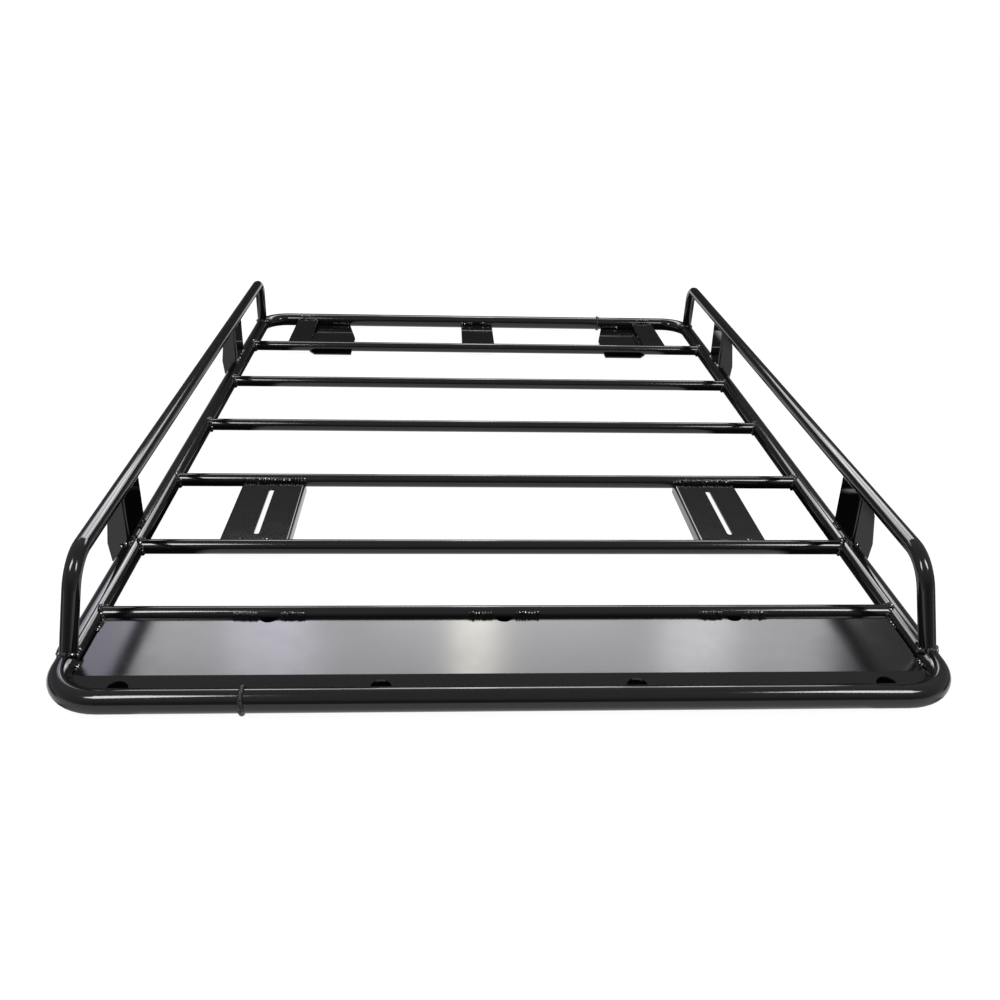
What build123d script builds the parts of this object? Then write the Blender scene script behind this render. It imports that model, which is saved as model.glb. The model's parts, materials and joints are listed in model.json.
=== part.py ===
"""Welded tubular roof rack: bent frame, crossbars, side rails, brackets and mounting plates."""
import os
from build123d import *

os.makedirs("parts", exist_ok=True)

# Frame tube
frame_od = 34.0
frame_wall = 2.5
frame_width = 1216.0
frame_length = 1779.0
corner_radius = 66.0
seam_inset = 253.5

# Crossbars
bar_od = 25.0
bar_wall = 2.0
bar_rise = 2.0
bar_bays = [206.0, 209.0, 264.0, 282.0, 279.0, 282.0, 257.0]

# Side rails
rail_od = 25.0
rail_wall = 2.0
rail_height = 134.0
rail_inset = 10.5
rail_bend = 60.0
front_leg_foot = 88.0
front_leg_rake = 50.0
rear_leg_foot = 57.0
rear_leg_rake = 53.0

# Side brackets
sheet = 3.0
bracket_length = 85.0
bracket_fold = 5.0
flange_width = 36.0
flange_widest = 18.0
flange_shoulder = 29.0
flange_shoulder_height = 72.0
flange_toe = 32.5
flange_toe_drop = 16.0
flange_seat = 12.0
front_bracket_lead = 18.0
rear_bracket_lag = 102.0

# Front plate
plate_gap = 3.0
plate_fold_y = 51.0
plate_lip_drop = 9.0
notch_radius = 13.0
lip_notch_radius = 15.0
lip_notch_set_back = 10.5
notch_pitch = 175.0

# Slotted mounting plates
slot_plate_inset = 194.5
slot_plate_width = 118.0
slot_plate_depth = 20.0
slot_width = 9.0
slot_end_land = 43.0
slot_plate_end = 9.0

# Rear mounting pads
pad_inset = 98.0
pad_shelf = 57.0
pad_width = 170.0
pad_top = 8.0
pad_front_reach = 25.0
pad_corner = 16.0
pad_taper = 28.0
pad_taper_length = 144.0
pad_hole_inset = 19.5
pad_hole = 8.0
pad_hole_lag = 69.0
pad_hole_pitch = 76.0

# Rear centre plate
centre_width = 89.0
centre_drop = 5.0
centre_hole = 8.0
centre_hole_pitch = 54.0
centre_hole_inset = 67.0

# Levels and stations in the shared frame
half_width = frame_width / 2
front_y = -frame_length / 2
rear_y = frame_length / 2
frame_z = frame_od / 2
bar_z = frame_z + bar_rise
bay_scale = frame_length / sum(bar_bays)
bar_y = [front_y + bay_scale * sum(bar_bays[: i + 1]) for i in range(len(bar_bays) - 1)]
rail_z = frame_z + rail_height
deck_z = bar_z + sheet / 2
seam_x = half_width - seam_inset
slot_plate_x = half_width - slot_plate_inset
pad_outer = half_width - pad_inset
pad_step = pad_outer - pad_shelf
pad_inner = pad_outer - pad_width


def station(distance):
    """Turns a distance behind the front tube into the shared frame."""
    return front_y + distance


def ring(outer, wall, where):
    """Draws the cross-section of a tube, solid when it has no wall."""
    with BuildSketch(where) as section:
        Circle(outer / 2)
        if wall:
            Circle(outer / 2 - wall, mode=Mode.SUBTRACT)
    return section.sketch


def frame_half(wall):
    """Bends one half of the frame: a short front end, the left side and a long rear end."""
    with BuildLine(Plane.XY.offset(frame_z)) as path:
        FilletPolyline(
            (-seam_x, front_y),
            (-half_width, front_y),
            (-half_width, rear_y),
            (seam_x, rear_y),
            radius=corner_radius,
        )
    with BuildPart() as tube:
        sweep(ring(frame_od, wall, Plane(path.line @ 0, z_dir=path.line % 0)), path=path.line)
    return tube.part


# The two frame halves are the same bent tube, one turned half round
with BuildPart() as left_frame_tube:
    add(frame_half(frame_wall))

with BuildPart() as right_frame_tube:
    add(frame_half(frame_wall).rotate(Axis.Z, 180))

# Solid copies of the frame, used only to cope what is welded to it
with BuildPart() as frame_core:
    add(frame_half(0))
    add(frame_half(0).rotate(Axis.Z, 180))


def crossbar(y):
    """Makes a crossbar coped to the inner sides of the frame."""
    with BuildPart() as bar:
        with Locations(Location((0, y, bar_z), (0, 90, 0))):
            Cylinder(bar_od / 2, frame_width)
            Cylinder(bar_od / 2 - bar_wall, frame_width, mode=Mode.SUBTRACT)
        add(frame_core.part, mode=Mode.SUBTRACT)
    return bar.part.solids().sort_by(SortBy.VOLUME)[-1]


def bar_core(y):
    """Makes the solid core of a crossbar, used only to cope the plates."""
    with BuildPart() as core:
        with Locations(Location((0, y, bar_z), (0, 90, 0))):
            Cylinder(bar_od / 2, frame_width - frame_od)
    return core.part


crossbars = []
for y in bar_y:
    with BuildPart() as bar_part:
        add(crossbar(y))
    crossbars.append(bar_part)


def rail_sweep(wall):
    """Bends the left side rail in the plane that leans in over the side tube."""
    lean = Vector(rail_inset, 0, rail_height)
    side = Plane(
        origin=(-half_width, 0, frame_z),
        x_dir=(0, 1, 0),
        z_dir=Vector(0, 1, 0).cross(lean),
    )
    top = lean.length
    with BuildLine(side) as path:
        FilletPolyline(
            (front_y + front_leg_foot, 0),
            (front_y + front_leg_foot + front_leg_rake, top),
            (rear_y - rear_leg_foot - rear_leg_rake, top),
            (rear_y - rear_leg_foot, 0),
            radius=rail_bend,
        )
    with BuildPart() as tube:
        sweep(ring(rail_od, wall, Plane(path.line @ 0, z_dir=path.line % 0)), path=path.line)
    return tube.part


# Side rails stand on the side tubes with coped feet
with BuildPart() as left_side_rail:
    add(rail_sweep(rail_wall))
    add(frame_core.part, mode=Mode.SUBTRACT)

with BuildPart() as right_side_rail:
    add(left_side_rail.part.mirror(Plane.YZ))

rail_core = rail_sweep(0)


def side_bracket(y):
    """Folds a left bracket: a web over the tube and a front flange that stands out."""
    inner = -half_width + sheet / 2
    outer = -half_width - flange_width
    with BuildPart() as bracket:
        with BuildSketch():
            with BuildLine():
                FilletPolyline(
                    (outer, y),
                    (inner, y),
                    (inner, y + bracket_length),
                    radius=bracket_fold,
                )
                offset(amount=sheet, side=Side.LEFT)
            make_face()
        extrude(amount=rail_z)
        with BuildSketch(Plane.XZ.offset(-y)):
            with BuildLine():
                Polyline(
                    (inner, frame_z),
                    (-half_width - flange_seat, frame_z - flange_seat),
                    (-half_width - flange_toe, frame_z - flange_toe_drop),
                    (outer, frame_z + flange_widest),
                    (-half_width - flange_shoulder, frame_z + flange_shoulder_height),
                    (-half_width - sheet, rail_z),
                    (inner, rail_z),
                    close=True,
                )
            make_face()
        extrude(amount=2 * bracket_length, both=True, mode=Mode.INTERSECT)
        add(frame_core.part, mode=Mode.SUBTRACT)
        add(rail_core, mode=Mode.SUBTRACT)
    return bracket.part.solids().sort_by(SortBy.VOLUME)[-1]


with BuildPart() as front_left_bracket:
    add(side_bracket(bar_y[1] - front_bracket_lead))

with BuildPart() as front_right_bracket:
    add(front_left_bracket.part.mirror(Plane.YZ))

with BuildPart() as rear_left_bracket:
    add(side_bracket(bar_y[4] + rear_bracket_lag))

with BuildPart() as rear_right_bracket:
    add(rear_left_bracket.part.mirror(Plane.YZ))


def deflector():
    """Folds the front plate: flat behind, sloped down to the front tube, notched on both edges."""
    half = half_width - frame_od / 2 - plate_gap
    slope = plate_lip_drop / (plate_fold_y - frame_od / 2)
    with BuildPart() as plate:
        with BuildSketch(Plane.YZ.offset(-half)):
            with BuildLine():
                FilletPolyline(
                    (bar_y[0], deck_z),
                    (station(plate_fold_y), deck_z),
                    (station(0), deck_z - slope * plate_fold_y),
                    radius=bracket_fold,
                )
                offset(amount=sheet, side=Side.LEFT)
            make_face()
        extrude(amount=2 * half)
        with BuildSketch(Plane.XY.offset(frame_z)):
            with Locations(*[(n * notch_pitch, bar_y[0] - bar_od / 2) for n in (-2, 0, 2)]):
                Circle(notch_radius)
            for n in (-3, -1, 1, 3):
                with Locations((n * notch_pitch, front_y + frame_od / 2)):
                    Rectangle(2 * lip_notch_radius, 2 * lip_notch_set_back)
                with Locations((n * notch_pitch, front_y + frame_od / 2 + lip_notch_set_back)):
                    Circle(lip_notch_radius)
        extrude(amount=frame_od, both=True, mode=Mode.SUBTRACT)
        add(frame_core.part, mode=Mode.SUBTRACT)
        add(bar_core(bar_y[0]), mode=Mode.SUBTRACT)
    return plate.part.solids().sort_by(SortBy.VOLUME)[-1]


with BuildPart() as front_plate:
    add(deflector())


def slotted_plate():
    """Folds the left slotted plate: a channel with its flanges down, between two crossbars."""
    middle = (bar_y[1] + bar_y[2]) / 2
    outer = -slot_plate_x - slot_plate_width / 2
    inner = -slot_plate_x + slot_plate_width / 2
    with BuildPart() as channel:
        with BuildSketch(Plane.XZ.offset(-bar_y[1] - slot_plate_end)):
            with BuildLine():
                FilletPolyline(
                    (outer, deck_z - slot_plate_depth),
                    (outer, deck_z),
                    (inner, deck_z),
                    (inner, deck_z - slot_plate_depth),
                    radius=bracket_fold,
                )
                offset(amount=sheet, side=Side.RIGHT)
            make_face()
        extrude(amount=-(bar_y[2] - bar_y[1] - 2 * slot_plate_end))
        with BuildSketch(Plane.XY.offset(deck_z)):
            with Locations((-slot_plate_x, middle)):
                SlotOverall(bar_y[2] - bar_y[1] - 2 * slot_end_land, slot_width, rotation=90)
        extrude(amount=2 * sheet, both=True, mode=Mode.SUBTRACT)
        add(bar_core(bar_y[1]), mode=Mode.SUBTRACT)
        add(bar_core(bar_y[2]), mode=Mode.SUBTRACT)
    return channel.part.solids().sort_by(SortBy.VOLUME)[-1]


with BuildPart() as left_slotted_plate:
    add(slotted_plate())

with BuildPart() as right_slotted_plate:
    add(left_slotted_plate.part.mirror(Plane.YZ))


def rear_pad():
    """Folds the left rear pad: a high outer shelf, a step and a low inner shelf under the last crossbar."""
    low = bar_z - bar_od / 2
    high = frame_z + pad_top
    pad_front = bar_y[5] - pad_front_reach
    with BuildPart() as pad:
        with BuildSketch(Plane.XZ.offset(-pad_front)):
            with BuildLine():
                FilletPolyline(
                    (-pad_outer, high),
                    (-pad_step, high),
                    (-pad_step, low),
                    (-pad_inner, low),
                    radius=bracket_fold,
                )
                offset(amount=sheet, side=Side.RIGHT)
            make_face()
        extrude(amount=-(rear_y - pad_front))
        with BuildSketch(Plane.XY):
            with BuildLine():
                Polyline(
                    (-pad_step + pad_corner, pad_front),
                    (-pad_inner, pad_front),
                    (-pad_inner, rear_y - pad_taper_length),
                    (-pad_inner - pad_taper, rear_y),
                    (-pad_outer, rear_y),
                    (-pad_outer, bar_y[5]),
                    (-pad_step, bar_y[5]),
                    close=True,
                )
            make_face()
            for row in (bar_y[5] + pad_hole_lag, bar_y[5] + pad_hole_lag + pad_hole_pitch):
                with Locations((pad_hole_inset - pad_outer, row)):
                    Circle(pad_hole / 2, mode=Mode.SUBTRACT)
        extrude(amount=2 * frame_od, mode=Mode.INTERSECT)
        add(bar_core(bar_y[5]), mode=Mode.SUBTRACT)
        add(frame_core.part, mode=Mode.SUBTRACT)
    return pad.part.solids().sort_by(SortBy.VOLUME)[-1]


with BuildPart() as left_rear_pad:
    add(rear_pad())

with BuildPart() as right_rear_pad:
    add(left_rear_pad.part.mirror(Plane.YZ))

# Rear centre plate between the last crossbar and the rear tube
with BuildPart() as rear_centre_plate:
    with BuildSketch(Plane.XY.offset(frame_z - centre_drop)):
        with Locations((0, (bar_y[5] + rear_y) / 2)):
            Rectangle(centre_width, rear_y - bar_y[5])
        with Locations(*[(s * centre_hole_pitch / 2, rear_y - centre_hole_inset) for s in (-1, 1)]):
            Circle(centre_hole / 2, mode=Mode.SUBTRACT)
    extrude(amount=-sheet)
    add(bar_core(bar_y[5]), mode=Mode.SUBTRACT)
    add(frame_core.part, mode=Mode.SUBTRACT)

pieces = {
    "left_frame_tube": left_frame_tube,
    "right_frame_tube": right_frame_tube,
    "left_side_rail": left_side_rail,
    "right_side_rail": right_side_rail,
    "front_left_bracket": front_left_bracket,
    "front_right_bracket": front_right_bracket,
    "rear_left_bracket": rear_left_bracket,
    "rear_right_bracket": rear_right_bracket,
    "front_plate": front_plate,
    "left_slotted_plate": left_slotted_plate,
    "right_slotted_plate": right_slotted_plate,
    "left_rear_pad": left_rear_pad,
    "right_rear_pad": right_rear_pad,
    "rear_centre_plate": rear_centre_plate,
}
for number, bar_part in enumerate(crossbars, 1):
    pieces[f"crossbar_{number}"] = bar_part

for node, piece in pieces.items():
    piece.part.label = node
    export_step(piece.part, f"parts/{node}.step")
    print(node, len(piece.part.solids()), round(piece.part.volume), piece.part.is_valid)
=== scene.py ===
"""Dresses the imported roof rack: powder coat, weld beads, studio light and camera."""
import json
import logging
import math
from dataclasses import dataclass, field
from enum import Enum

import bpy
from mathutils import Matrix, Vector

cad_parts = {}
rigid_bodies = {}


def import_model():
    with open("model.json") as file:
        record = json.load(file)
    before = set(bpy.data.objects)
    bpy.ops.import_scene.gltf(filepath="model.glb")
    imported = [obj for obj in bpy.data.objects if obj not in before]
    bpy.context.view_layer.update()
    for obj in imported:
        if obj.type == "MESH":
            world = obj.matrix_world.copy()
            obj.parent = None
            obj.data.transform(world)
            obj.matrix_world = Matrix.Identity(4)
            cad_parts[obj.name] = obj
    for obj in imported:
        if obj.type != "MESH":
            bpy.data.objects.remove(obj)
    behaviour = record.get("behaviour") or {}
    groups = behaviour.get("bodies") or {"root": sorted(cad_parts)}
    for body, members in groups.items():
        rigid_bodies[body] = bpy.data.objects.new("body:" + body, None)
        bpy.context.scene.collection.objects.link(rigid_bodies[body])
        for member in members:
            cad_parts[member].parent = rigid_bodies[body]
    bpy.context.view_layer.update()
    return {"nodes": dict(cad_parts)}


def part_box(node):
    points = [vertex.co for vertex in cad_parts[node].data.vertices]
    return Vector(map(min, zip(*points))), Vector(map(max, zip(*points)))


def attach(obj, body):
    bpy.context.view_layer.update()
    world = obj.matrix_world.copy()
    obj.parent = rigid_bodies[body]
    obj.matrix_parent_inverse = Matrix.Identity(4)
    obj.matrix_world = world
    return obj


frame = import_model()

log = logging.getLogger("roof_rack")
Point = tuple[float, float, float]
Colour = tuple[float, float, float]
Span = tuple[float, float]

MM = 0.001
BARS = 6
RAIL_HEIGHT = 134.0 * MM
RAIL_INSET = 10.5 * MM

WHITE: Colour = (1.0, 1.0, 1.0)
LAVENDER: Colour = (0.94, 0.92, 1.16)
PALE: Colour = (1.0, 0.985, 1.03)
WARM: Colour = (1.0, 0.98, 0.82)


class Side(Enum):
    """Side of the rack, with the sign of its X."""

    LEFT = -1
    RIGHT = 1


class Slot(Enum):
    """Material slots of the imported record."""

    TUBE = "tube_black"
    BRACKET = "bracket_black"
    PLATE = "plate_black"
    FRONT_PLATE = "front_plate_black"


class Ray(Enum):
    """Kinds of ray that the stage tells apart, by Light Path output."""

    CAMERA = "Is Camera Ray"
    GLOSSY = "Is Glossy Ray"
    TRANSMISSION = "Is Transmission Ray"


class Wiring:
    """Short helper for adding and joining nodes of one tree."""

    def __init__(self, tree: bpy.types.NodeTree) -> None:
        """Takes the tree that the nodes go into.

        Args:
            tree: A shader or geometry node tree.
        """
        self.tree = tree

    def node(
        self, kind: str, values: dict[str, object] | None = None, **settings: object
    ) -> bpy.types.Node:
        """Adds a node.

        Args:
            kind: The node's type name.
            values: Default values by input socket name.
            settings: Properties of the node itself.

        Returns:
            The new node.
        """
        made = self.tree.nodes.new(kind)
        for name, value in settings.items():
            setattr(made, name, value)
        for name, value in (values or {}).items():
            made.inputs[name].default_value = value
        return made

    def join(self, out: bpy.types.NodeSocket, into: bpy.types.NodeSocket) -> None:
        """Links an output socket to an input socket.

        Args:
            out: The output socket.
            into: The input socket.
        """
        self.tree.links.new(out, into)

    def math(self, operation: str, first: object, second: object) -> bpy.types.NodeSocket:
        """Adds a Math node.

        Args:
            operation: The node's operation.
            first: A socket or a number.
            second: A socket or a number.

        Returns:
            The node's output socket.
        """
        made = self.node("ShaderNodeMath", operation=operation)
        for slot, value in zip(made.inputs, (first, second)):
            if isinstance(value, (int, float)):
                slot.default_value = value
            else:
                self.join(value, slot)
        return made.outputs[0]


class CoatGroups:
    """Shader node groups that every powder-coated finish shares."""

    BROAD_NOISE = {"Detail": 1.0, "Roughness": 0.4}
    GRAIN_NOISE = {"Detail": 2.0, "Roughness": 0.55}
    GRAIN_SCALE = 3.1
    BROAD_SHARE = 0.78
    GRAIN_SHARE = 0.22
    TONE_NOISE = {"Detail": 4.0, "Roughness": 0.6}
    GLOSS_NOISE = {"Detail": 3.0, "Roughness": 0.65}
    GLOSS_RANGE = {"From Min": 0.3, "From Max": 0.7}

    def __init__(self) -> None:
        """Builds the three groups once."""
        self.peel = self._peel()
        self.tone = self._tone()
        self.sheen = self._sheen()

    @staticmethod
    def _group(
        name: str, sockets: list[tuple[str, str, str]]
    ) -> tuple[bpy.types.NodeTree, Wiring]:
        """Starts a shader node group.

        Args:
            name: The group's name.
            sockets: Name, direction and type of each socket.

        Returns:
            The tree and its wiring helper.
        """
        tree = bpy.data.node_groups.new(name, "ShaderNodeTree")
        for label, way, kind in sockets:
            tree.interface.new_socket(name=label, in_out=way, socket_type=kind)
        return tree, Wiring(tree)

    def _peel(self) -> bpy.types.NodeTree:
        """Builds the fine orange peel of baked powder.

        Returns:
            A group that puts out a height.
        """
        tree, wires = self._group("powder_peel", [
            ("Vector", "INPUT", "NodeSocketVector"),
            ("Scale", "INPUT", "NodeSocketFloat"),
            ("Height", "OUTPUT", "NodeSocketFloat"),
        ])
        start, end = wires.node("NodeGroupInput"), wires.node("NodeGroupOutput")
        broad = wires.node("ShaderNodeTexNoise", self.BROAD_NOISE)
        grain = wires.node("ShaderNodeTexNoise", self.GRAIN_NOISE)
        wires.join(start.outputs["Vector"], broad.inputs["Vector"])
        wires.join(start.outputs["Vector"], grain.inputs["Vector"])
        wires.join(start.outputs["Scale"], broad.inputs["Scale"])
        closer = wires.math("MULTIPLY", start.outputs["Scale"], self.GRAIN_SCALE)
        wires.join(closer, grain.inputs["Scale"])
        soft = wires.math("MULTIPLY", broad.outputs["Fac"], self.BROAD_SHARE)
        fine = wires.math("MULTIPLY", grain.outputs["Fac"], self.GRAIN_SHARE)
        wires.join(wires.math("ADD", soft, fine), end.inputs["Height"])
        return tree

    def _tone(self) -> bpy.types.NodeTree:
        """Builds the slow change of the black over a piece.

        Returns:
            A group that puts out a colour.
        """
        tree, wires = self._group("coat_tone", [
            ("Vector", "INPUT", "NodeSocketVector"),
            ("Scale", "INPUT", "NodeSocketFloat"),
            ("Dark", "INPUT", "NodeSocketColor"),
            ("Light", "INPUT", "NodeSocketColor"),
            ("Colour", "OUTPUT", "NodeSocketColor"),
        ])
        start, end = wires.node("NodeGroupInput"), wires.node("NodeGroupOutput")
        cloud = wires.node("ShaderNodeTexNoise", self.TONE_NOISE)
        blend = wires.node("ShaderNodeMix", data_type="RGBA")
        wires.join(start.outputs["Vector"], cloud.inputs["Vector"])
        wires.join(start.outputs["Scale"], cloud.inputs["Scale"])
        wires.join(cloud.outputs["Fac"], blend.inputs["Factor"])
        wires.join(start.outputs["Dark"], blend.inputs["A"])
        wires.join(start.outputs["Light"], blend.inputs["B"])
        colour = next(out for out in blend.outputs if out.type == "RGBA")
        wires.join(colour, end.inputs["Colour"])
        return tree

    def _sheen(self) -> bpy.types.NodeTree:
        """Builds the patchy gloss of the coat.

        Returns:
            A group that puts out a roughness.
        """
        tree, wires = self._group("coat_gloss", [
            ("Vector", "INPUT", "NodeSocketVector"),
            ("Scale", "INPUT", "NodeSocketFloat"),
            ("Low", "INPUT", "NodeSocketFloat"),
            ("High", "INPUT", "NodeSocketFloat"),
            ("Roughness", "OUTPUT", "NodeSocketFloat"),
        ])
        start, end = wires.node("NodeGroupInput"), wires.node("NodeGroupOutput")
        cloud = wires.node("ShaderNodeTexNoise", self.GLOSS_NOISE)
        span = wires.node("ShaderNodeMapRange", self.GLOSS_RANGE)
        wires.join(start.outputs["Vector"], cloud.inputs["Vector"])
        wires.join(start.outputs["Scale"], cloud.inputs["Scale"])
        wires.join(cloud.outputs["Fac"], span.inputs["Value"])
        wires.join(start.outputs["Low"], span.inputs["To Min"])
        wires.join(start.outputs["High"], span.inputs["To Max"])
        wires.join(span.outputs["Result"], end.inputs["Roughness"])
        return tree


@dataclass(frozen=True)
class PowderCoat:
    """Black powder coat baked on steel."""

    name: str
    dark: Colour = (0.0030, 0.0030, 0.0034)
    light: Colour = (0.0055, 0.0055, 0.0060)
    tone_scale: float = 9.0
    gloss: Span = (0.08, 0.13)
    gloss_scale: float = 26.0
    peel_scale: float = 330.0
    peel_height: float = 0.012
    peel_depth: float = 0.5 * MM
    ior: float = 1.5

    def material(self, groups: CoatGroups) -> bpy.types.Material:
        """Builds the finish.

        Args:
            groups: The shared node groups.

        Returns:
            The new material.
        """
        made = bpy.data.materials.new(self.name)
        made.use_nodes = True
        made.node_tree.nodes.clear()
        wires = Wiring(made.node_tree)
        place = wires.node("ShaderNodeTexCoord").outputs["Object"]
        shader = wires.node("ShaderNodeBsdfPrincipled", {"Metallic": 0.0, "IOR": self.ior})
        end = wires.node("ShaderNodeOutputMaterial")
        tone = self._place(wires, groups.tone, place, {
            "Scale": self.tone_scale,
            "Dark": (*self.dark, 1.0),
            "Light": (*self.light, 1.0),
        })
        gloss = self._place(wires, groups.sheen, place, {
            "Scale": self.gloss_scale, "Low": self.gloss[0], "High": self.gloss[1],
        })
        peel = self._place(wires, groups.peel, place, {"Scale": self.peel_scale})
        bump = wires.node("ShaderNodeBump", {
            "Strength": self.peel_height, "Distance": self.peel_depth,
        })
        wires.join(peel.outputs["Height"], bump.inputs["Height"])
        wires.join(tone.outputs["Colour"], shader.inputs["Base Color"])
        wires.join(gloss.outputs["Roughness"], shader.inputs["Roughness"])
        wires.join(bump.outputs["Normal"], shader.inputs["Normal"])
        wires.join(shader.outputs["BSDF"], end.inputs["Surface"])
        return made

    @staticmethod
    def _place(
        wires: Wiring,
        group: bpy.types.NodeTree,
        place: bpy.types.NodeSocket,
        values: dict[str, object],
    ) -> bpy.types.Node:
        """Puts a shared group into the material.

        Args:
            wires: Wiring of the material.
            group: The shared group.
            place: Coordinates that the group reads.
            values: Input values by name.

        Returns:
            The group's node.
        """
        made = wires.node("ShaderNodeGroup", values, node_tree=group)
        wires.join(place, made.inputs["Vector"])
        return made


@dataclass
class WeldRun:
    """Path of one weld, on the surface it is laid on."""

    points: list[Vector]
    closed: bool = False


class RippleTree:
    """Geometry Nodes tree that lays overlapping weld ripples along edge paths."""

    SUBDIVISIONS = 2
    DRIFT = 0.16
    SEED_STEP = 7

    def __init__(self) -> None:
        """Builds the tree with its named inputs."""
        self.tree = bpy.data.node_groups.new("weld_ripples", "GeometryNodeTree")
        self.ids: dict[str, str] = {}
        self._socket("Geometry", "NodeSocketGeometry")
        for name in ("Pitch", "Radius", "Flatness", "Jitter"):
            self._socket(name, "NodeSocketFloat")
        self._socket("Seed", "NodeSocketInt")
        self._socket("Smooth", "NodeSocketBool")
        self._socket("Finish", "NodeSocketMaterial")
        self.tree.interface.new_socket(
            name="Geometry", in_out="OUTPUT", socket_type="NodeSocketGeometry"
        )
        self._wire()

    def _socket(self, name: str, kind: str) -> None:
        """Adds an input and keeps its identifier.

        Args:
            name: The input's name.
            kind: The socket's type name.
        """
        made = self.tree.interface.new_socket(name=name, in_out="INPUT", socket_type=kind)
        self.ids[name] = made.identifier

    def _wire(self) -> None:
        """Adds and joins the tree's nodes."""
        wires = Wiring(self.tree)
        start, end = wires.node("NodeGroupInput"), wires.node("NodeGroupOutput")
        given = start.outputs
        path = wires.node("GeometryNodeMeshToCurve")
        steps = wires.node("GeometryNodeResampleCurve", mode="LENGTH")
        ripple = wires.node("GeometryNodeMeshIcoSphere", {
            "Radius": 1.0, "Subdivisions": self.SUBDIVISIONS,
        })
        smooth = wires.node("GeometryNodeSetShadeSmooth")
        wires.join(given["Smooth"], smooth.inputs["Shade Smooth"])
        lay = wires.node("GeometryNodeInstanceOnPoints")
        along = wires.node("GeometryNodeInputTangent")
        turn = wires.node("FunctionNodeAlignRotationToVector", axis="Z")
        shake = wires.node("GeometryNodeSetPosition")
        size = wires.node("FunctionNodeRandomValue", data_type="FLOAT_VECTOR")
        drift = wires.node("FunctionNodeRandomValue", data_type="FLOAT_VECTOR")
        shape = wires.node("ShaderNodeCombineXYZ")
        scale = wires.node("ShaderNodeVectorMath", operation="MULTIPLY")
        real = wires.node("GeometryNodeRealizeInstances")
        finish = wires.node("GeometryNodeSetMaterial")
        wires.join(given["Geometry"], path.inputs["Mesh"])
        wires.join(path.outputs["Curve"], steps.inputs["Curve"])
        wires.join(given["Pitch"], steps.inputs["Length"])
        reach = wires.math("MULTIPLY", given["Radius"], self.DRIFT)
        wires.join(wires.math("MULTIPLY", reach, -1.0), drift.inputs["Min"])
        wires.join(reach, drift.inputs["Max"])
        wires.join(given["Seed"], drift.inputs["Seed"])
        wires.join(steps.outputs["Curve"], shake.inputs["Geometry"])
        wires.join(drift.outputs["Value"], shake.inputs["Offset"])
        wires.join(shake.outputs["Geometry"], lay.inputs["Points"])
        wires.join(ripple.outputs["Mesh"], smooth.inputs["Geometry"])
        wires.join(smooth.outputs["Geometry"], lay.inputs["Instance"])
        wires.join(along.outputs["Tangent"], turn.inputs["Vector"])
        wires.join(turn.outputs["Rotation"], lay.inputs["Rotation"])
        wires.join(wires.math("SUBTRACT", 1.0, given["Jitter"]), size.inputs["Min"])
        wires.join(wires.math("ADD", 1.0, given["Jitter"]), size.inputs["Max"])
        wires.join(wires.math("ADD", given["Seed"], self.SEED_STEP), size.inputs["Seed"])
        wires.join(given["Radius"], shape.inputs["X"])
        wires.join(given["Radius"], shape.inputs["Y"])
        flat = wires.math("MULTIPLY", given["Radius"], given["Flatness"])
        wires.join(flat, shape.inputs["Z"])
        wires.join(shape.outputs["Vector"], scale.inputs[0])
        wires.join(size.outputs["Value"], scale.inputs[1])
        wires.join(scale.outputs["Vector"], lay.inputs["Scale"])
        wires.join(lay.outputs["Instances"], real.inputs["Geometry"])
        wires.join(real.outputs["Geometry"], finish.inputs["Geometry"])
        wires.join(given["Finish"], finish.inputs["Material"])
        wires.join(finish.outputs["Geometry"], end.inputs["Geometry"])

    def lay(self, name: str, runs: list[WeldRun], values: dict[str, object]) -> bpy.types.Object:
        """Lays ripples along runs and makes the result a plain mesh.

        Args:
            name: The piece's name.
            runs: Paths of the welds.
            values: Modifier inputs by name.

        Returns:
            The finished piece, in the scene.
        """
        verts: list[Vector] = []
        edges: list[tuple[int, int]] = []
        for run in runs:
            first = len(verts)
            verts += run.points
            last = len(verts) - 1
            edges += [(i, i + 1) for i in range(first, last)]
            if run.closed:
                edges.append((last, first))
        paths = bpy.data.meshes.new(name + "_paths")
        paths.from_pydata(verts, edges, [])
        piece = bpy.data.objects.new(name, paths)
        bpy.context.scene.collection.objects.link(piece)
        modifier = piece.modifiers.new("ripples", "NODES")
        modifier.node_group = self.tree
        for label, value in values.items():
            modifier[self.ids[label]] = value
        graph = bpy.context.evaluated_depsgraph_get()
        mesh = bpy.data.meshes.new_from_object(piece.evaluated_get(graph), depsgraph=graph)
        piece.modifiers.remove(modifier)
        piece.data = mesh
        mesh.name = name
        bpy.data.meshes.remove(paths)
        return piece


@dataclass
class Bead:
    """Size and shape of a weld bead's ripples, flat-faced unless smooth."""

    radius: float = 4.8 * MM
    pitch: float = 5.6 * MM
    flatness: float = 0.85
    jitter: float = 0.30
    seed: int = 1
    smooth: bool = False


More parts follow.
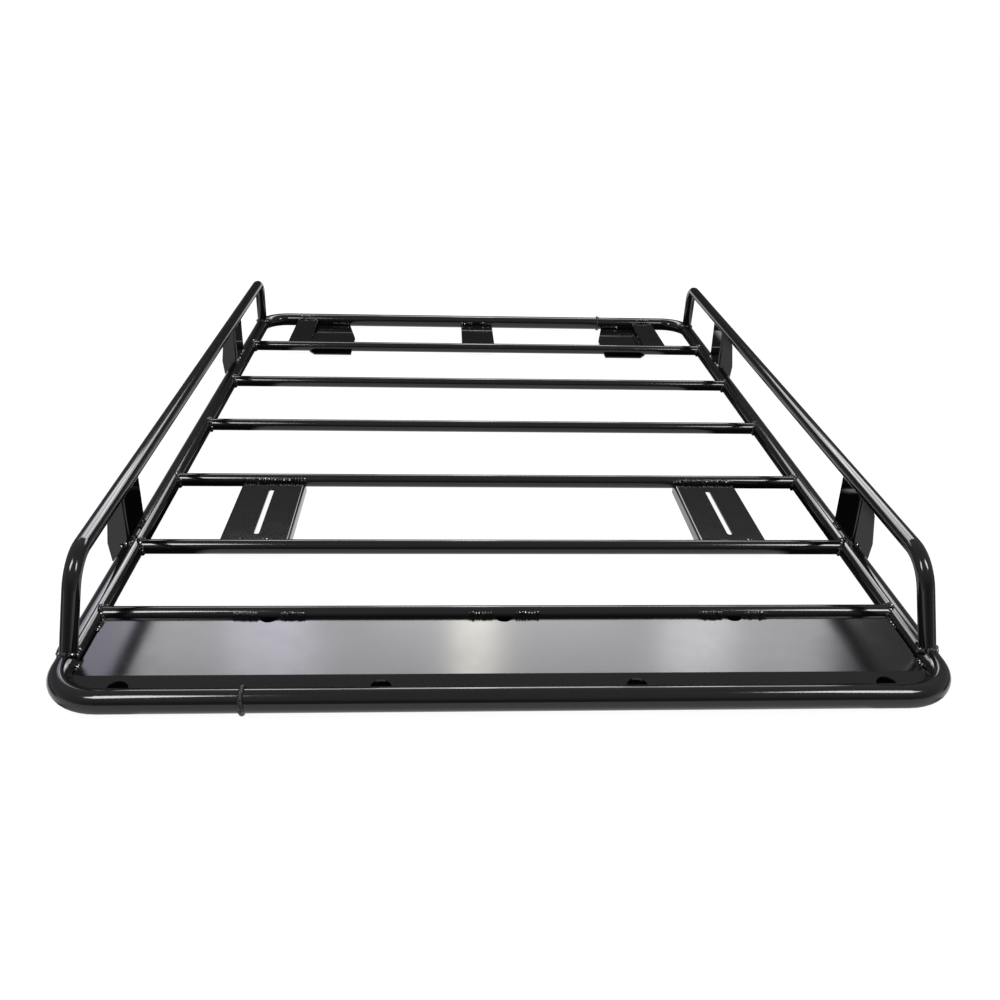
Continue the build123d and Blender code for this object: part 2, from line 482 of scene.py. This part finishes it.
@dataclass
class Layout:
    """Places that the welds follow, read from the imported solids."""

    half_width: float = 0.0
    half_length: float = 0.0
    frame_radius: float = 0.0
    bar_radius: float = 0.0
    bar_height: float = 0.0
    bar_rows: list[float] = field(default_factory=list)

    def read(self) -> "Layout":
        """Reads the places from the frame.

        Returns:
            This layout, filled in.
        """
        low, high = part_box("left_frame_tube")
        self.frame_radius = (high.z - low.z) / 2
        self.half_width = -low.x - self.frame_radius
        self.half_length = (high.y - low.y) / 2 - self.frame_radius
        for number in range(1, BARS + 1):
            low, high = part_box(f"crossbar_{number}")
            self.bar_rows.append((low.y + high.y) / 2)
            self.bar_radius = (high.z - low.z) / 2
            self.bar_height = (high.z + low.z) / 2
        return self

    def bar_face(self, row: int, height: float, towards: int) -> float:
        """Finds where a crossbar's side is at a height.

        Args:
            row: Index of the crossbar from the front.
            height: Height above the floor.
            towards: 1 for the rear side, -1 for the front side.

        Returns:
            The Y of the side there.
        """
        rise = height - self.bar_height
        return self.bar_rows[row] + towards * math.sqrt(self.bar_radius**2 - rise**2)

    def rear_face(self, height: float) -> float:
        """Finds where the rear tube's front side is at a height.

        Args:
            height: Height above the floor.

        Returns:
            The Y of the side there.
        """
        rise = height - self.frame_radius
        return self.half_length - math.sqrt(self.frame_radius**2 - rise**2)


def straight(start: Point, end: Point, steps: int = 8) -> WeldRun:
    """Makes a straight weld run.

    Args:
        start: First point.
        end: Last point.
        steps: Number of parts.

    Returns:
        The run.
    """
    a, b = Vector(start), Vector(end)
    return WeldRun([a.lerp(b, i / steps) for i in range(steps + 1)])


def crosswise(side: Side, start: float, end: float, row: float, height: float) -> WeldRun:
    """Makes a straight weld run across the rack, on one side of it.

    Args:
        side: Side of the rack.
        start: Distance of the first point from the middle.
        end: Distance of the last point from the middle.
        row: Y of the run.
        height: Height of the run.

    Returns:
        The run.
    """
    return straight((side.value * start, row, height), (side.value * end, row, height))


@dataclass
class SubAssembly:
    """Some nodes of the rack with one finish, and the welds that hold them."""

    layout: Layout
    name: str = ""
    nodes: tuple[str, ...] = ()
    slot: Slot = Slot.TUBE
    bead: Bead = field(default_factory=Bead)

    def runs(self) -> list[WeldRun]:
        """Gives the paths of the welds.

        Returns:
            The runs, in the order they are laid.
        """
        raise NotImplementedError

    def dress(self, finish: bpy.types.Material) -> None:
        """Gives the nodes their finish.

        Args:
            finish: The finish of this sub-assembly.
        """
        for node in self.nodes:
            for place in frame["nodes"][node].material_slots:
                place.material = finish
            log.info("dressed %s", node)

    def build(self, ripples: RippleTree, finish: bpy.types.Material) -> None:
        """Builds the welds as one piece.

        Args:
            ripples: The tree that lays the beads.
            finish: The finish of the beads.
        """
        runs = self.runs()
        piece = ripples.lay(f"{self.name}_welds", runs, {
            "Pitch": self.bead.pitch,
            "Radius": self.bead.radius,
            "Flatness": self.bead.flatness,
            "Jitter": self.bead.jitter,
            "Seed": self.bead.seed,
            "Smooth": self.bead.smooth,
            "Finish": finish,
        })
        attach(piece, "root")
        faces = len(piece.data.polygons)
        log.info("built %s, %d runs, %d faces", piece.name, len(runs), faces)


@dataclass
class FrameTubes(SubAssembly):
    """The bent frame in two halves, with a weld ring at each butt seam."""

    name: str = "frame_seam"
    nodes: tuple[str, ...] = ("left_frame_tube", "right_frame_tube")
    bead: Bead = field(default_factory=lambda: Bead(
        radius=3.8 * MM, pitch=1.6 * MM, jitter=0.02, seed=3, smooth=True
    ))
    seam: float = 354.5 * MM
    ring_steps: int = 48

    def runs(self) -> list[WeldRun]:
        """Gives a ring at each seam.

        Returns:
            Two closed runs.
        """
        place = self.layout
        made = []
        for sign in (-1, 1):
            ring = []
            for step in range(self.ring_steps):
                turn = math.tau * step / self.ring_steps
                ring.append(Vector((
                    sign * self.seam,
                    sign * place.half_length + place.frame_radius * math.cos(turn),
                    place.frame_radius * (1 + math.sin(turn)),
                )))
            made.append(WeldRun(ring, closed=True))
        return made


@dataclass
class Crossbars(SubAssembly):
    """Six crossbars coped and welded to the side tubes."""

    name: str = "crossbar"
    bead: Bead = field(default_factory=lambda: Bead(radius=3.7 * MM, pitch=4.6 * MM, seed=2))
    nodes: tuple[str, ...] = tuple(f"crossbar_{n}" for n in range(1, BARS + 1))
    ring_steps: int = 40

    def runs(self) -> list[WeldRun]:
        """Gives the saddle at both ends of every bar.

        Returns:
            Twelve closed runs.
        """
        place = self.layout
        made = []
        for row in place.bar_rows:
            for side in Side:
                saddle = []
                for step in range(self.ring_steps):
                    turn = math.tau * step / self.ring_steps
                    height = place.bar_height + place.bar_radius * math.sin(turn)
                    rise = height - place.frame_radius
                    reach = math.sqrt(place.frame_radius**2 - rise**2)
                    saddle.append(Vector((
                        side.value * (place.half_width - reach),
                        row + place.bar_radius * math.cos(turn),
                        height,
                    )))
                made.append(WeldRun(saddle, closed=True))
        return made


@dataclass
class SideRails(SubAssembly):
    """Two raised rails whose raked legs stand on the side tubes."""

    name: str = "side_rail"
    nodes: tuple[str, ...] = ("left_side_rail", "right_side_rail")
    front_foot: float = 88.0 * MM
    front_rake: float = 50.0 * MM
    rear_foot: float = 57.0 * MM
    rear_rake: float = 53.0 * MM
    ring_steps: int = 40

    def runs(self) -> list[WeldRun]:
        """Gives the saddle at each of the four feet.

        Returns:
            Four closed runs.
        """
        made = []
        reach = self.layout.half_length
        for side in Side:
            made.append(self._saddle(side, -reach + self.front_foot, self.front_rake))
            made.append(self._saddle(side, reach - self.rear_foot, -self.rear_rake))
        return made

    def _saddle(self, side: Side, row: float, rake: float) -> WeldRun:
        """Follows a leg's outside down to the side tube.

        Args:
            side: Side of the rack.
            row: Y of the foot.
            rake: How far the leg leans along Y over its height.

        Returns:
            The closed run.
        """
        place = self.layout
        foot = Vector((side.value * place.half_width, row, place.frame_radius))
        axis = Vector((-side.value * RAIL_INSET, rake, RAIL_HEIGHT)).normalized()
        across = axis.cross(Vector((1, 0, 0))).normalized()
        other = axis.cross(across)
        ring = []
        for step in range(self.ring_steps):
            turn = math.tau * step / self.ring_steps
            start = place.bar_radius * (across * math.cos(turn) + other * math.sin(turn))
            a = axis.x**2 + axis.z**2
            b = 2 * (start.x * axis.x + start.z * axis.z)
            c = start.x**2 + start.z**2 - place.frame_radius**2
            slide = (-b + math.sqrt(b * b - 4 * a * c)) / (2 * a)
            ring.append(foot + start + slide * axis)
        return WeldRun(ring, closed=True)


@dataclass
class SideBrackets(SubAssembly):
    """Four folded brackets between the side tubes and the rails."""

    name: str = "bracket"
    nodes: tuple[str, ...] = (
        "front_left_bracket", "front_right_bracket", "rear_left_bracket", "rear_right_bracket",
    )
    slot: Slot = Slot.BRACKET
    bead: Bead = field(default_factory=lambda: Bead(radius=4.2 * MM, seed=5))
    stitch: float = 22.0 * MM
    margin: float = 4.0 * MM
    web: float = 1.5 * MM
    sink: float = 0.3 * MM
    flange_turn: float = 48.0
    foot_steps: int = 8

    def runs(self) -> list[WeldRun]:
        """Gives the stitches of every bracket.

        Returns:
            Five open runs for each bracket.
        """
        place = self.layout
        made = []
        for node in self.nodes:
            sign = -1 if "left" in node else 1
            low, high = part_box(node)
            face = sign * (place.half_width - self.web)
            top = 2 * place.frame_radius - self.sink
            ends = (
                (low.y + self.margin, low.y + self.margin + self.stitch),
                (high.y - self.margin - self.stitch, high.y - self.margin),
            )
            drop = math.sqrt(place.bar_radius**2 - (RAIL_INSET - self.web) ** 2)
            under = place.frame_radius + RAIL_HEIGHT - drop
            for start, end in ends:
                made.append(straight((face, start, top), (face, end, top)))
                made.append(straight((face, start, under), (face, end, under)))
            foot = []
            for step in range(self.foot_steps + 1):
                turn = math.radians(self.flange_turn * step / self.foot_steps)
                foot.append(Vector((
                    sign * (place.half_width + place.frame_radius * math.sin(turn)),
                    low.y,
                    place.frame_radius * (1 + math.cos(turn)),
                )))
            made.append(WeldRun(foot))
        return made


@dataclass
class FrontPlate(SubAssembly):
    """The folded front plate, stitched to the first crossbar and the side tubes."""

    name: str = "front_plate"
    nodes: tuple[str, ...] = ("front_plate",)
    slot: Slot = Slot.FRONT_PLATE
    bead: Bead = field(default_factory=lambda: Bead(radius=2.9 * MM, pitch=4.0 * MM, seed=11))
    notch_pitch: float = 350.0 * MM
    stitch_offset: float = 35.0 * MM
    stitch: float = 32.0 * MM
    side_stitches: tuple[Span, ...] = ((0.160, 0.188), (0.064, 0.080))
    side_gap: float = 1.5 * MM
    lift: float = 5.2 * MM

    def runs(self) -> list[WeldRun]:
        """Gives the stitches beside each notch and along the sides.

        Returns:
            Ten open runs.
        """
        place = self.layout
        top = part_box("front_plate")[1].z
        level = top + self.lift
        seam = place.bar_face(0, level, -1)
        made = []
        for notch in (-1, 0, 1):
            for hand in (-1, 1):
                middle = notch * self.notch_pitch + hand * self.stitch_offset
                half = self.stitch / 2
                made.append(straight((middle - half, seam, level), (middle + half, seam, level)))
        edge = place.half_width - place.frame_radius - self.side_gap
        for side in Side:
            for start, end in self.side_stitches:
                made.append(straight(
                    (side.value * edge, start - place.half_length, top),
                    (side.value * edge, end - place.half_length, top),
                ))
        return made


@dataclass
class SlottedPlates(SubAssembly):
    """Two slotted channels between the second and third crossbars."""

    name: str = "slotted_plate"
    nodes: tuple[str, ...] = ("left_slotted_plate", "right_slotted_plate")
    slot: Slot = Slot.PLATE
    bead: Bead = field(default_factory=lambda: Bead(radius=3.7 * MM, jitter=0.34, seed=17))
    front_stitches: tuple[Span, ...] = ((0.384, 0.402), (0.428, 0.442))
    rear_stitches: tuple[Span, ...] = ((0.357, 0.470),)
    lift: float = 4.0 * MM

    def runs(self) -> list[WeldRun]:
        """Gives the stitches at both ends of the plates.

        Returns:
            Six open runs.
        """
        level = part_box(self.nodes[0])[1].z + self.lift
        ends = ((1, 1, self.front_stitches), (2, -1, self.rear_stitches))
        made = []
        for side in Side:
            for row, towards, stitches in ends:
                seam = self.layout.bar_face(row, level, towards)
                for start, end in stitches:
                    made.append(crosswise(side, start, end, seam, level))
        return made


@dataclass
class RearPlates(SubAssembly):
    """The stepped rear pads and the centre plate, welded to the rear tube and last crossbar."""

    name: str = "rear_plate"
    nodes: tuple[str, ...] = ("left_rear_pad", "right_rear_pad", "rear_centre_plate")
    slot: Slot = Slot.PLATE
    bead: Bead = field(default_factory=lambda: Bead(radius=4.2 * MM, seed=23))
    shelf_stitch: Span = (0.470, 0.503)
    low_stitch: Span = (0.371, 0.411)
    centre_stitch: Span = (0.014, 0.040)
    sheet: float = 3.0 * MM
    lift: float = 4.0 * MM

    def runs(self) -> list[WeldRun]:
        """Gives the stitches of the pads and of the centre plate.

        Returns:
            Eight open runs.
        """
        place = self.layout
        low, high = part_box("left_rear_pad")
        shelves = ((high.z, self.shelf_stitch), (low.z + self.sheet, self.low_stitch))
        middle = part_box("rear_centre_plate")[1].z
        made = []
        for side in Side:
            for level, (start, end) in (*shelves, (middle, self.centre_stitch)):
                raised = level + self.lift
                made.append(crosswise(side, start, end, place.rear_face(raised), raised))
            seam = place.bar_face(BARS - 1, middle, 1)
            made.append(crosswise(side, *self.centre_stitch, seam, middle))
        return made


@dataclass
class PhotoCamera:
    """Camera at the photo's viewing angle, in metres and radians."""

    place: Point = (-0.0894, -1.9725, 0.8450)
    yaw: float = 0.0610
    pitch: float = -0.4565
    roll: float = 0.0306
    lens: float = 36.149
    sensor: float = 36.0
    near: float = 10.0 * MM

    def build(self) -> None:
        """Makes the camera and sets it as the scene's camera."""
        data = bpy.data.cameras.new("photo_camera")
        data.sensor_fit = "HORIZONTAL"
        data.sensor_width = self.sensor
        data.lens = self.lens
        data.clip_start = self.near
        camera = bpy.data.objects.new("photo_camera", data)
        ahead = Vector((
            math.sin(self.yaw) * math.cos(self.pitch),
            math.cos(self.yaw) * math.cos(self.pitch),
            math.sin(self.pitch),
        ))
        right = Vector((math.cos(self.yaw), -math.sin(self.yaw), 0.0))
        up = right.cross(ahead)
        tilted_right = math.cos(self.roll) * right + math.sin(self.roll) * up
        tilted_up = -math.sin(self.roll) * right + math.cos(self.roll) * up
        turn = Matrix((tilted_right, tilted_up, -ahead)).transposed().to_4x4()
        camera.matrix_world = Matrix.Translation(self.place) @ turn
        bpy.context.scene.collection.objects.link(camera)
        bpy.context.scene.camera = camera


@dataclass(frozen=True)
class Softbox:
    """One soft area lamp, aimed at a point."""

    name: str
    place: Point
    aim: Point
    size: tuple[float, float]
    radiance: float
    tint: Colour = WHITE

    def build(self) -> None:
        """Makes the lamp, with its power set from its radiance and area."""
        data = bpy.data.lights.new(self.name, "AREA")
        data.shape = "RECTANGLE"
        data.size, data.size_y = self.size
        data.energy = self.radiance * math.pi * self.size[0] * self.size[1]
        data.color = self.tint
        lamp = bpy.data.objects.new(self.name, data)
        lamp.location = self.place
        way = Vector(self.aim) - Vector(self.place)
        lamp.rotation_euler = way.to_track_quat("-Z", "Y").to_euler()
        lamp.visible_camera = False
        bpy.context.scene.collection.objects.link(lamp)


@dataclass(frozen=True)
class PaintedShadePatch:
    """Soft-edged rectangle of painted shade on the floor."""

    middle: tuple[float, float]
    half: tuple[float, float]
    soft: float = 8.0 * MM


@dataclass
class Studio:
    """White floor, soft lamps, and surroundings that are white to the camera only."""

    floor_level: float = -4.5 * MM
    floor_reach: float = 30.0
    floor_glow: float = 0.965
    floor_tone: float = 0.11
    # painted shadow: the floor's glow goes dark under the front plate, both to the camera and in
    # reflections
    painted_shadow_under_plate: PaintedShadePatch = PaintedShadePatch((0.0, -0.767), (0.575, 0.100), 3.0 * MM)
    # painted shade seen in reflections: the floor's glow for glossy rays dims beside the
    # brackets and side tubes, down to the levels below
    painted_shade_beside_bracket: PaintedShadePatch = PaintedShadePatch((0.53, -0.325), (0.10, 0.120))
    reflected_shade_inner: Span = (0.485, 0.515)
    reflected_shade_outer: Span = (0.60, 0.63)
    reflected_shade_far: Span = (0.70, 0.76)
    reflected_shade_front: Span = (-0.93, -0.87)
    reflected_shade_level: float = 0.03
    reflected_far_level: float = 0.15
    horizon: float = 0.09
    horizon_lean: float = -0.05
    horizon_sides: float = 0.35
    overhead: float = 0.40
    climb: Span = (0.28, 0.70)
    softboxes: tuple[Softbox, ...] = (
        Softbox("left_softbox", (-1.20, -1.45, 2.0), (-0.2, -0.4, 0.0), (0.50, 0.85), 17.0),
        Softbox("right_softbox", (1.42, -1.43, 2.0), (0.2, -0.4, 0.0), (0.50, 0.80), 17.0),
        Softbox("rear_bank", (0.10, 1.85, 1.77), (0.0, -0.8, 0.0), (3.20, 0.64), 4.7, PALE),
        Softbox(
            "rear_bank_end", (-1.80, 1.85, 1.77), (-1.8, -0.8, 0.0),
            (0.60, 0.64), 2.2, LAVENDER,
        ),
        Softbox("rear_low_panel", (0.15, 1.85, 1.28), (0.15, -0.8, 0.0), (1.05, 0.46), 4.2),
        Softbox(
            "rear_left_panel", (-0.86, 1.84, 1.775), (-0.37, -0.8, 0.0),
            (0.36, 0.55), 2.4, LAVENDER,
        ),
        Softbox(
            "rear_middle_panel", (0.05, 1.84, 1.775), (0.0, -0.8, 0.0),
            (0.20, 0.55), 6.6, WARM,
        ),
        Softbox("rear_right_panel", (1.07, 1.84, 1.775), (0.27, -0.8, 0.0), (0.30, 0.55), 3.4),
    )

    def build(self) -> None:
        """Makes the floor, the surroundings and the lamps."""
        self._floor()
        self._world()
        for lamp in self.softboxes:
            lamp.build()
        bpy.context.scene.view_settings.view_transform = "Standard"

    @staticmethod
    def _seen(wires: Wiring, rays: tuple[Ray, ...]) -> bpy.types.NodeSocket:
        """Marks rays of the given kinds.

        Args:
            wires: Wiring of the stage's material or world.
            rays: The kinds of ray.

        Returns:
            A socket that is 1 for such a ray.
        """
        path = wires.node("ShaderNodeLightPath")
        total = path.outputs[rays[0].value]
        for ray in rays[1:]:
            total = wires.math("MAXIMUM", total, path.outputs[ray.value])
        return total

    def _floor(self) -> None:
        """Makes the pale floor, which glows to the camera and keeps the rack's shadow; its glow
        carries a painted shadow under the front plate, and painted shade beside the side tubes
        as seen in reflections.
        """
        reach = self.floor_reach
        mesh = bpy.data.meshes.new("floor")
        corners = [(-reach, -reach), (reach, -reach), (reach, reach), (-reach, reach)]
        mesh.from_pydata([(x, y, self.floor_level) for x, y in corners], [], [(0, 1, 2, 3)])
        floor = bpy.data.objects.new("floor", mesh)
        bpy.context.scene.collection.objects.link(floor)
        paint = bpy.data.materials.new("pale_floor")
        paint.use_nodes = True
        paint.node_tree.nodes.clear()
        wires = Wiring(paint.node_tree)
        matt = wires.node("ShaderNodeBsdfDiffuse")
        glow = wires.node("ShaderNodeEmission", {"Color": (*WHITE, 1.0)})
        both = wires.node("ShaderNodeAddShader")
        end = wires.node("ShaderNodeOutputMaterial")
        place = wires.node("ShaderNodeSeparateXYZ")
        wires.join(wires.node("ShaderNodeTexCoord").outputs["Object"], place.inputs["Vector"])
        direct = self._seen(wires, (Ray.CAMERA, Ray.TRANSMISSION))
        mirrored = self._seen(wires, (Ray.GLOSSY,))
        tone = wires.math("MULTIPLY", wires.math("SUBTRACT", 1.0, mirrored), self.floor_tone)
        wires.join(tone, matt.inputs["Color"])
        # painted shade: the floor's glow as seen in reflections dims beside the side tubes and
        # brackets
        reflected_glow = wires.math("MULTIPLY", mirrored, self._reflected_floor_shade(wires, place))
        shown = wires.math("MAXIMUM", direct, reflected_glow)
        # painted shadow under the front plate, cut out of the floor's glow
        clear = self._off_painted_shade(wires, place.outputs["X"], place.outputs["Y"], self.painted_shadow_under_plate)
        glow_outside_painted_shadow = wires.math("MULTIPLY", shown, clear)
        wires.join(wires.math("MULTIPLY", glow_outside_painted_shadow, self.floor_glow), glow.inputs["Strength"])
        wires.join(matt.outputs["BSDF"], both.inputs[0])
        wires.join(glow.outputs["Emission"], both.inputs[1])
        wires.join(both.outputs["Shader"], end.inputs["Surface"])
        mesh.materials.append(paint)

    @staticmethod
    def _ramp(
        wires: Wiring, value: bpy.types.NodeSocket, span: Span, ends: tuple[float, float]
    ) -> bpy.types.NodeSocket:
        """Adds a soft step.

        Args:
            wires: Wiring of the material or world.
            value: The socket that is read.
            span: Where the step starts and ends.
            ends: Values before and after the step.

        Returns:
            The step's socket.
        """
        made = wires.node("ShaderNodeMapRange", {
            "From Min": span[0], "From Max": span[1], "To Min": ends[0], "To Max": ends[1],
        }, interpolation_type="SMOOTHSTEP")
        wires.join(value, made.inputs["Value"])
        return made.outputs["Result"]

    def _off_painted_shade(
        self,
        wires: Wiring,
        across: bpy.types.NodeSocket,
        along: bpy.types.NodeSocket,
        patch: PaintedShadePatch,
    ) -> bpy.types.NodeSocket:
        """Marks the floor outside a patch of painted shade.

        Args:
            wires: Wiring of the floor's material.
            across: The floor's X.
            along: The floor's Y.
            patch: The rectangle of painted shade.

        Returns:
            A socket that is 0 on the patch and 1 away from it.
        """
        inside = []
        for value, middle, half in zip((across, along), patch.middle, patch.half):
            away = wires.math("ABSOLUTE", wires.math("SUBTRACT", value, middle), 0.0)
            edge = (half - patch.soft, half + patch.soft)
            inside.append(self._ramp(wires, away, edge, (1.0, 0.0)))
        return wires.math("SUBTRACT", 1.0, wires.math("MULTIPLY", *inside))

    def _reflected_floor_shade(self, wires: Wiring, place: bpy.types.Node) -> bpy.types.NodeSocket:
        """Paints shade on the floor's glow beside the side tubes and brackets, seen only in
        reflections in the coat.

        Args:
            wires: Wiring of the floor's material.
            place: Node that gives the floor's X and Y.

        Returns:
            A socket that is 1 between the side tubes and ahead of the rack, and low in the
            painted shade.
        """
        away = wires.math("ABSOLUTE", place.outputs["X"], 0.0)
        beside = self._off_painted_shade(wires, away, place.outputs["Y"], self.painted_shade_beside_bracket)
        fall = self._ramp(wires, away, self.reflected_shade_inner, (1.0, self.reflected_shade_level))
        inner = wires.math("MULTIPLY", beside, fall)
        rise = self._ramp(wires, away, self.reflected_shade_outer, (0.0, 1.0))
        fade = self._ramp(wires, away, self.reflected_shade_far, (1.0, self.reflected_far_level))
        outer = wires.math("MULTIPLY", rise, fade)
        ahead = self._ramp(wires, place.outputs["Y"], self.reflected_shade_front, (1.0, 0.0))
        return wires.math("MAXIMUM", wires.math("MAXIMUM", inner, outer), ahead)

    def _world(self) -> None:
        """Makes the surroundings: white to the camera, dim and soft to the rack."""
        world = bpy.data.worlds.new("studio")
        world.use_nodes = True
        world.node_tree.nodes.clear()
        wires = Wiring(world.node_tree)
        way = wires.node("ShaderNodeTexCoord").outputs["Generated"]
        split = wires.node("ShaderNodeSeparateXYZ")
        wires.join(way, split.inputs["Vector"])
        side = wires.math("POWER", wires.math("ABSOLUTE", split.outputs["X"], 0.0), 2.0)
        lean = wires.math("MULTIPLY", split.outputs["Y"], self.horizon_lean)
        sides = wires.math("MULTIPLY", side, self.horizon_sides)
        low = wires.math("ADD", wires.math("ADD", lean, self.horizon), sides)
        climb = self._ramp(wires, split.outputs["Z"], self.climb, (0.0, 1.0))
        change = wires.math("MULTIPLY", wires.math("SUBTRACT", self.overhead, low), climb)
        seen = self._seen(wires, (Ray.CAMERA, Ray.TRANSMISSION))
        strength = wires.math("MAXIMUM", wires.math("ADD", low, change), seen)
        sky = wires.node("ShaderNodeBackground", {"Color": (*WHITE, 1.0)})
        end = wires.node("ShaderNodeOutputWorld")
        wires.join(strength, sky.inputs["Strength"])
        wires.join(sky.outputs["Background"], end.inputs["Surface"])
        bpy.context.scene.world = world


def main() -> None:
    """Builds the camera, the rack's welds and finishes, and the studio."""
    logging.basicConfig(level=logging.INFO, format="%(name)s: %(message)s")
    PhotoCamera().build()
    groups = CoatGroups()
    finishes = {
        Slot.TUBE: PowderCoat("tube_coat").material(groups),
        Slot.BRACKET: PowderCoat("bracket_coat", gloss=(0.04, 0.07)).material(groups),
        Slot.PLATE: PowderCoat("plate_coat", gloss=(0.06, 0.09)).material(groups),
        Slot.FRONT_PLATE: PowderCoat("front_plate_coat", gloss=(0.15, 0.18)).material(groups),
    }
    beads = PowderCoat("weld_coat", gloss=(0.05, 0.08), peel_height=0.0, ior=1.9)
    bead_coat = beads.material(groups)
    ripples = RippleTree()
    layout = Layout().read()
    kinds = (
        FrameTubes, Crossbars, SideRails, SideBrackets, FrontPlate, SlottedPlates, RearPlates,
    )
    for kind in kinds:
        part = kind(layout)
        part.dress(finishes[part.slot])
        part.build(ripples, finishes[part.slot] if part.bead.smooth else bead_coat)
    Studio().build()


if __name__ == "__main__":
    main()
